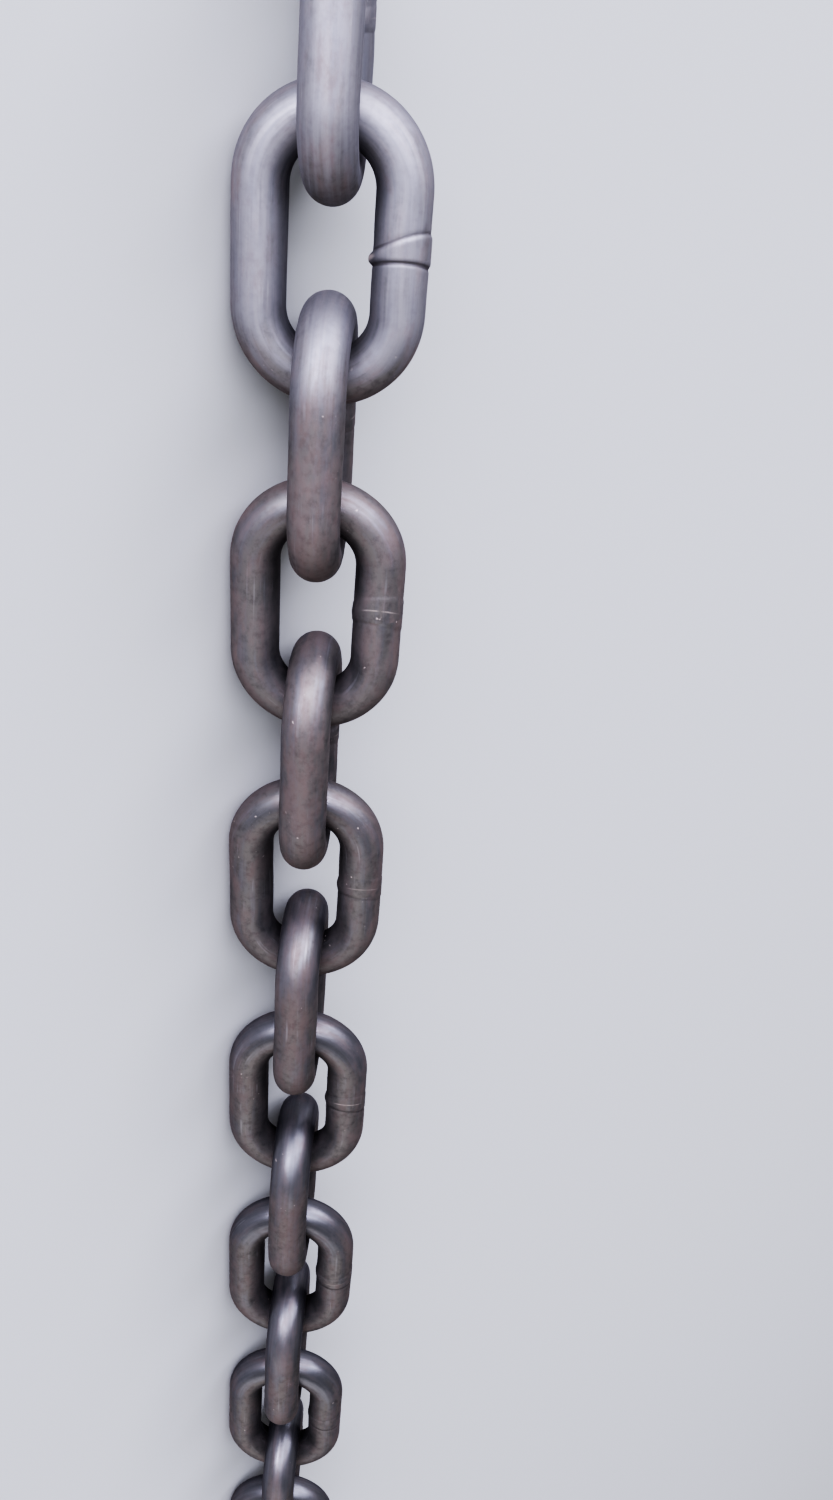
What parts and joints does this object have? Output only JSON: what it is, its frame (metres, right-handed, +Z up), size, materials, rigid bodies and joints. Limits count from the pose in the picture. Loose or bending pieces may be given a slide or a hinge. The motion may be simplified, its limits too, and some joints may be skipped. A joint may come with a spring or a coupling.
{
  "type": "welded steel link chain",
  "caption": "Straight run of welded steel chain of oval round-bar links, each turned a quarter turn from the last, lying pulled out on the floor.",
  "frame": {"origin": "on the floor, under the middle of the chain", "axes": "+X along the chain from its near end to its far end, +Z up"},
  "size_m": [1.0146, 0.0358, 0.0358],
  "materials": {
    "dark_steel": "dark hot-formed steel with an oily scale, satin, scuffed and lightly rusted"
  },
  "bodies": {
    "link_01": {"link_01": "dark_steel"},
    "link_02": {"link_02": "dark_steel"},
    "link_03": {"link_03": "dark_steel"},
    "link_04": {"link_04": "dark_steel"},
    "link_05": {"link_05": "dark_steel"},
    "link_06": {"link_06": "dark_steel"},
    "link_07": {"link_07": "dark_steel"},
    "link_08": {"link_08": "dark_steel"},
    "link_09": {"link_09": "dark_steel"},
    "link_10": {"link_10": "dark_steel"},
    "link_11": {"link_11": "dark_steel"},
    "link_12": {"link_12": "dark_steel"},
    "link_13": {"link_13": "dark_steel"},
    "link_14": {"link_14": "dark_steel"},
    "link_15": {"link_15": "dark_steel"},
    "link_16": {"link_16": "dark_steel"},
    "link_17": {"link_17": "dark_steel"},
    "link_18": {"link_18": "dark_steel"},
    "link_19": {"link_19": "dark_steel"},
    "link_20": {"link_20": "dark_steel"},
    "link_21": {"link_21": "dark_steel"},
    "link_22": {"link_22": "dark_steel"}
  },
  "joints": [
    {"name": "link_02_swing", "type": "hinge", "parent": "link_01", "child": "link_02", "pos_m": [-0.44217, 0, 0.01792], "axis": [0, -0.7071, 0.7071], "range_deg": [-90, 90]},
    {"name": "link_03_swing", "type": "hinge", "parent": "link_02", "child": "link_03", "pos_m": [-0.39727, 0, 0.01792], "axis": [0, 0.7071, 0.7071], "range_deg": [-90, 90]},
    {"name": "link_04_swing", "type": "hinge", "parent": "link_03", "child": "link_04", "pos_m": [-0.35237, 0, 0.01792], "axis": [0, 0.7071, -0.7071], "range_deg": [-90, 90]},
    {"name": "link_05_swing", "type": "hinge", "parent": "link_04", "child": "link_05", "pos_m": [-0.30748, 0, 0.01792], "axis": [0, -0.7071, -0.7071], "range_deg": [-90, 90]},
    {"name": "link_06_swing", "type": "hinge", "parent": "link_05", "child": "link_06", "pos_m": [-0.26258, 0, 0.01792], "axis": [0, -0.7071, 0.7071], "range_deg": [-90, 90]},
    {"name": "link_07_swing", "type": "hinge", "parent": "link_06", "child": "link_07", "pos_m": [-0.21768, 0, 0.01792], "axis": [0, 0.7071, 0.7071], "range_deg": [-90, 90]},
    {"name": "link_08_swing", "type": "hinge", "parent": "link_07", "child": "link_08", "pos_m": [-0.17279, 0, 0.01792], "axis": [0, 0.7071, -0.7071], "range_deg": [-90, 90]},
    {"name": "link_09_swing", "type": "hinge", "parent": "link_08", "child": "link_09", "pos_m": [-0.12789, 0, 0.01792], "axis": [0, -0.7071, -0.7071], "range_deg": [-90, 90]},
    {"name": "link_10_swing", "type": "hinge", "parent": "link_09", "child": "link_10", "pos_m": [-0.08299, 0, 0.01792], "axis": [0, -0.7071, 0.7071], "range_deg": [-90, 90]},
    {"name": "link_11_swing", "type": "hinge", "parent": "link_10", "child": "link_11", "pos_m": [-0.0381, 0, 0.01792], "axis": [0, 0.7071, 0.7071], "range_deg": [-90, 90]},
    {"name": "link_12_swing", "type": "hinge", "parent": "link_11", "child": "link_12", "pos_m": [0.0068, 0, 0.01792], "axis": [0, 0.7071, -0.7071], "range_deg": [-90, 90]},
    {"name": "link_13_swing", "type": "hinge", "parent": "link_12", "child": "link_13", "pos_m": [0.0517, 0, 0.01792], "axis": [0, -0.7071, -0.7071], "range_deg": [-90, 90]},
    {"name": "link_14_swing", "type": "hinge", "parent": "link_13", "child": "link_14", "pos_m": [0.0966, 0, 0.01792], "axis": [0, -0.7071, 0.7071], "range_deg": [-90, 90]},
    {"name": "link_15_swing", "type": "hinge", "parent": "link_14", "child": "link_15", "pos_m": [0.14149, 0, 0.01792], "axis": [0, 0.7071, 0.7071], "range_deg": [-90, 90]},
    {"name": "link_16_swing", "type": "hinge", "parent": "link_15", "child": "link_16", "pos_m": [0.18639, 0, 0.01792], "axis": [0, 0.7071, -0.7071], "range_deg": [-90, 90]},
    {"name": "link_17_swing", "type": "hinge", "parent": "link_16", "child": "link_17", "pos_m": [0.23129, 0, 0.01792], "axis": [0, -0.7071, -0.7071], "range_deg": [-90, 90]},
    {"name": "link_18_swing", "type": "hinge", "parent": "link_17", "child": "link_18", "pos_m": [0.27618, 0, 0.01792], "axis": [0, -0.7071, 0.7071], "range_deg": [-90, 90]},
    {"name": "link_19_swing", "type": "hinge", "parent": "link_18", "child": "link_19", "pos_m": [0.32108, 0, 0.01792], "axis": [0, 0.7071, 0.7071], "range_deg": [-90, 90]},
    {"name": "link_20_swing", "type": "hinge", "parent": "link_19", "child": "link_20", "pos_m": [0.36598, 0, 0.01792], "axis": [0, 0.7071, -0.7071], "range_deg": [-90, 90]},
    {"name": "link_21_swing", "type": "hinge", "parent": "link_20", "child": "link_21", "pos_m": [0.41087, 0, 0.01792], "axis": [0, -0.7071, -0.7071], "range_deg": [-90, 90]},
    {"name": "link_22_swing", "type": "hinge", "parent": "link_21", "child": "link_22", "pos_m": [0.45577, 0, 0.01792], "axis": [0, -0.7071, 0.7071], "range_deg": [-90, 90]}
  ]
}
